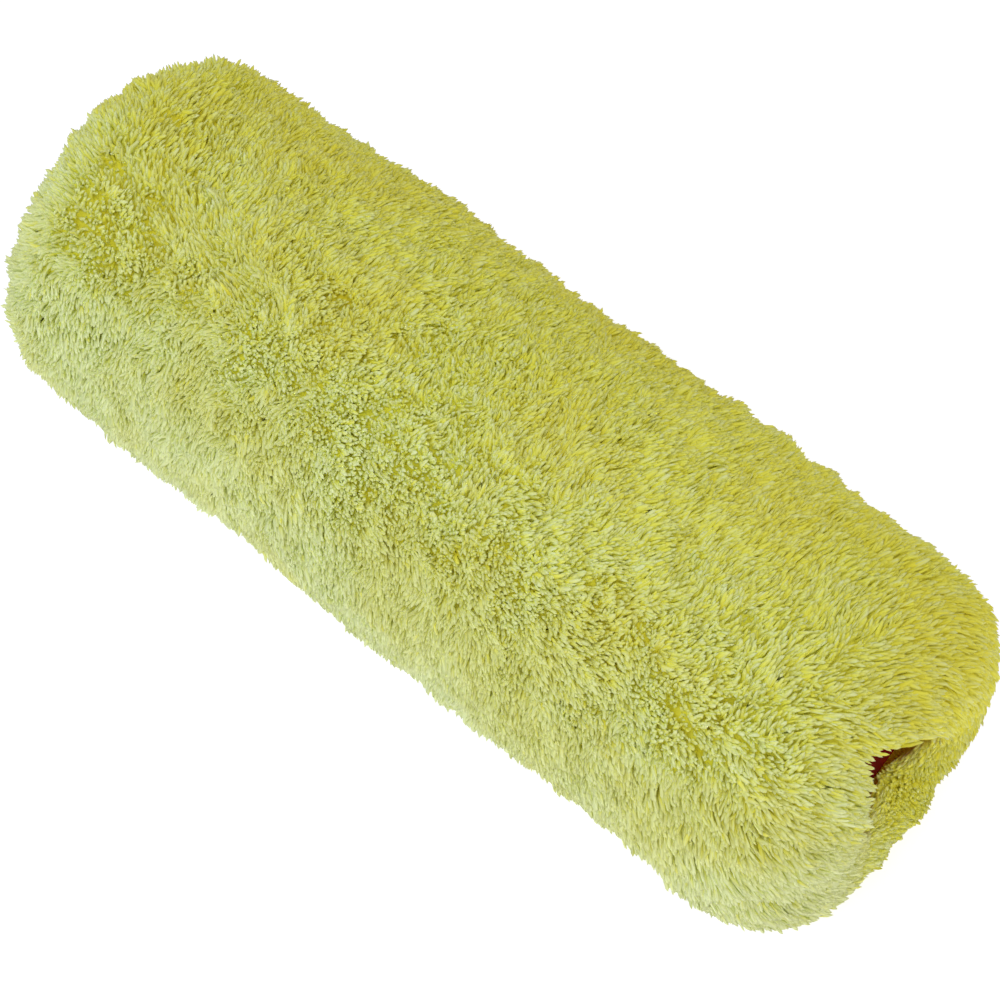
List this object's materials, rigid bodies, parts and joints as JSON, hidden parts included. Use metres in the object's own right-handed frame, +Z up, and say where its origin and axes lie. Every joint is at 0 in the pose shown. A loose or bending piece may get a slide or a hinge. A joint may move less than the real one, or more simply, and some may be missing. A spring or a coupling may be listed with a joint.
{
  "type": "paint roller sleeve",
  "caption": "Long-pile paint roller sleeve: a spirally wound plastic core with an open bore, covered by a bonded pile fabric that fans out past both ends.",
  "frame": {"origin": "middle of the core's bore, halfway along the sleeve", "axes": "+X along the bore, +Z up with the sleeve lying on its side"},
  "size_m": [0.258, 0.0978, 0.0978],
  "materials": {
    "core_plastic": "satin, faintly ribbed by the winding",
    "bond_film": "waxy melted film",
    "backing_knit": "close knitted backing",
    "pile_yarn": "soft lime-yellow pile, paler at its tips"
  },
  "bodies": {
    "root": {"core_inner_ply": "core_plastic", "ply_bond_film": "bond_film", "core_outer_ply": "core_plastic", "fabric_bond_film": "bond_film", "backing_fabric": "backing_knit", "pile": "pile_yarn"}
  },
  "joints": []
}
